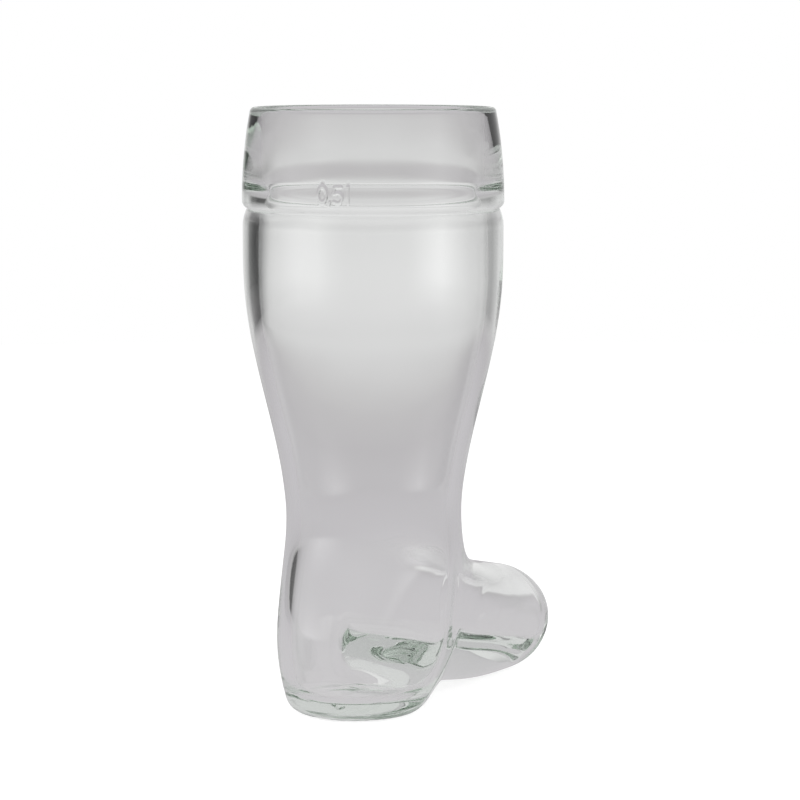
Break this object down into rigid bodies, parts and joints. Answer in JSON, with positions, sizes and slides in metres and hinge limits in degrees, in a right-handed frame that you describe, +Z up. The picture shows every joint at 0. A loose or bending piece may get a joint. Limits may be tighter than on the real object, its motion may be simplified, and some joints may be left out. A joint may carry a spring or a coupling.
{
  "type": "beer boot glass",
  "caption": "Clear drinking glass shaped as a knee-high boot: wide cuff with rounded lip, tapering shaft, hollow heel and round toe, for beer.",
  "frame": {"origin": "middle of the boot's box, at the table under heel and toe", "axes": "+X towards the toe, +Z up through the mouth, +Y to the boot's left; the leg axis is the line x = -0.02395, y = 0"},
  "size_m": [0.1323, 0.0844, 0.195],
  "materials": {
    "glass": "clear polished soda-lime glass"
  },
  "bodies": {
    "root": {"cuff": "glass", "shaft": "glass", "heel": "glass", "toe": "glass"}
  },
  "joints": []
}
